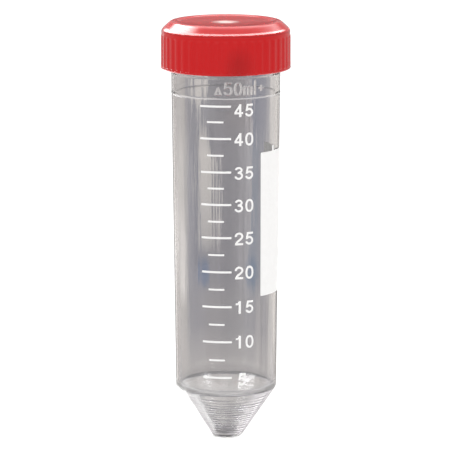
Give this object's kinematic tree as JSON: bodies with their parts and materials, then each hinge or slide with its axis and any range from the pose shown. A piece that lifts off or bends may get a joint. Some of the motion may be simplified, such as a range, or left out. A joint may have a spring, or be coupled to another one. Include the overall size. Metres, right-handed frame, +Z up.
{
  "type": "conical centrifuge tube",
  "caption": "Clear conical-bottom test tube with printed volume graduations, a white writing panel and a ribbed red screw cap that unscrews.",
  "frame": {"origin": "centre of the small flat foot under the conical tip, on the tube's axis", "axes": "+Z up along the tube's axis towards the cap; -Y is the side the graduations face, +X is to their right"},
  "size_m": [0.0352, 0.0352, 0.1153],
  "materials": {
    "clear_plastic": "clear, glossy, moulded",
    "red_plastic": "moulded, satin to glossy",
    "liner_foam": "soft closed-cell foam",
    "white_ink": "screen-printed ink"
  },
  "bodies": {
    "tube": {"digit_05_unit_5": "white_ink", "digit_10_tens_1": "white_ink", "digit_10_unit_0": "white_ink", "digit_15_tens_1": "white_ink", "digit_15_unit_5": "white_ink", "digit_20_tens_2": "white_ink", "digit_20_unit_0": "white_ink", "digit_25_tens_2": "white_ink", "digit_25_unit_5": "white_ink", "digit_30_tens_3": "white_ink", "digit_30_unit_0": "white_ink", "digit_35_tens_3": "white_ink", "digit_35_unit_5": "white_ink", "digit_40_tens_4": "white_ink", "digit_40_unit_0": "white_ink", "digit_45_tens_4": "white_ink", "digit_45_unit_5": "white_ink", "mark_05": "white_ink", "mark_07_5": "white_ink", "mark_10": "white_ink", "mark_12_5": "white_ink", "mark_15": "white_ink", "mark_17_5": "white_ink", "mark_20": "white_ink", "mark_22_5": "white_ink", "mark_25": "white_ink", "mark_27_5": "white_ink", "mark_30": "white_ink", "mark_32_5": "white_ink", "mark_35": "white_ink", "mark_37_5": "white_ink", "mark_40": "white_ink", "mark_42_5": "white_ink", "mark_45": "white_ink", "tube_body": "clear_plastic", "writing_panel": "white_ink"},
    "liner": {"cap_liner": "liner_foam"},
    "cap": {"screw_cap": "red_plastic"}
  },
  "joints": [
    {"name": "cap_lift", "type": "slide", "parent": "tube", "child": "liner", "axis": [0, 0, 1], "range_m": [0, 0.0141]},
    {"name": "cap_turn", "type": "hinge", "parent": "liner", "child": "cap", "pos_m": [0, 0, 0.108], "axis": [0, 0, 1], "range_deg": [0, 1440]}
  ],
  "couplings": [
    {"joint": "cap_lift", "follows": "cap_turn", "m_per_rad": 0.00055704}
  ]
}
